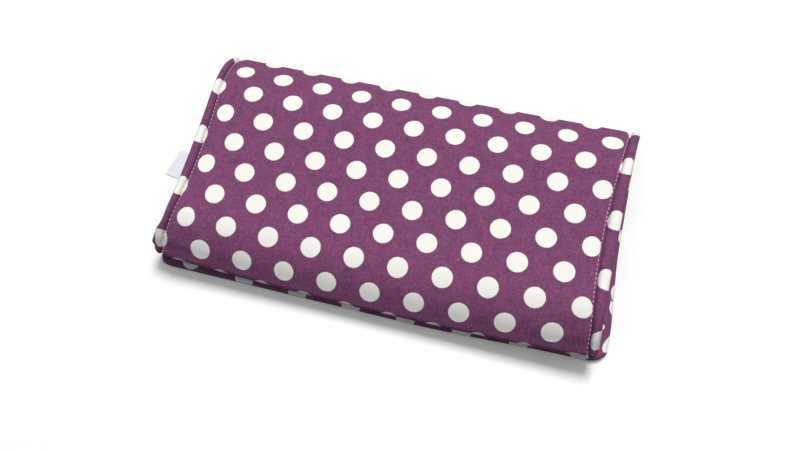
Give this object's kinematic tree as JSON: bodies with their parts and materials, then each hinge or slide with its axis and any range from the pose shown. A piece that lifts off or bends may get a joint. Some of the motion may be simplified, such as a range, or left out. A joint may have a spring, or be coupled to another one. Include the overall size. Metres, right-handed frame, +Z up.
{
  "type": "long wallet",
  "caption": "Padded cloth wallet of two leaves folded at a soft spine, with rolled hems, card tiers, a note pocket and a zipped coin pouch on pleated gussets.",
  "frame": {"origin": "on the table, under the middle of the top leaf's length and of its flat middle's run in depth", "axes": "+X along the wallet to its right end, +Y to the folded edge, +Z up from the table"},
  "size_m": [0.199, 0.1076, 0.0245],
  "materials": {
    "outer_cotton": "plain weave cotton, aubergine ground with round white dots",
    "lining_cotton": "the same dotted cotton cut across the grain",
    "padding": "white needled fleece, sealed inside",
    "label_ribbon": "woven white ribbon, bare",
    "zip_tape": "knitted zip tape dyed to match",
    "zip_teeth": "moulded teeth",
    "zip_metal": "nickel-plated zinc, soft shine",
    "magnet_steel": "plated magnet, sealed inside"
  },
  "bodies": {
    "bottom_leaf": {"bottom_cover": "outer_cotton", "bottom_fleece": "padding", "bottom_lining": "lining_cotton", "bottom_bound_left": "lining_cotton", "bottom_bound_right": "lining_cotton", "note_pocket": "lining_cotton", "card_tier_1": "lining_cotton", "card_tier_2": "outer_cotton", "card_tier_3": "lining_cotton", "card_tier_4": "outer_cotton", "magnet_lower": "magnet_steel"},
    "spine": {"spine_cover": "outer_cotton", "spine_fleece": "padding", "spine_lining": "lining_cotton", "spine_hem_left": "outer_cotton", "spine_hem_right": "outer_cotton"},
    "top_leaf": {"top_cover": "outer_cotton", "top_fleece": "padding", "top_lining": "lining_cotton", "top_hem_left": "outer_cotton", "top_hem_right": "outer_cotton", "side_label": "label_ribbon", "inner_panel": "lining_cotton", "gusset_left": "lining_cotton", "gusset_right": "lining_cotton", "coin_pouch": "lining_cotton", "magnet_upper": "magnet_steel", "zip_tape_upper": "zip_tape", "zip_tape_lower": "zip_tape", "zip_teeth_upper": "zip_teeth", "zip_teeth_lower": "zip_teeth", "zip_stops": "zip_metal"},
    "slider": {"zip_slider": "zip_metal"},
    "pull": {"zip_pull": "zip_metal"}
  },
  "joints": [
    {"name": "spine_fold", "type": "hinge", "parent": "bottom_leaf", "child": "spine", "pos_m": [0, 0.05475, 0.00187], "axis": [-1, 0, 0], "range_deg": [0, 90]},
    {"name": "leaf_fold", "type": "hinge", "parent": "spine", "child": "top_leaf", "pos_m": [0, 0.05031, 0.0137], "axis": [-1, 0, 0], "range_deg": [0, 90]},
    {"name": "zip_slide", "type": "slide", "parent": "top_leaf", "child": "slider", "axis": [-1, 0, 0], "range_m": [0, 0.147]},
    {"name": "pull_swing", "type": "hinge", "parent": "slider", "child": "pull", "pos_m": [0.07355, 0.02995, 0.01185], "axis": [0, 0, -1], "range_deg": [0, 180]}
  ],
  "couplings": [
    {"joint": "spine_fold", "follows": "leaf_fold", "ratio": 1}
  ]
}
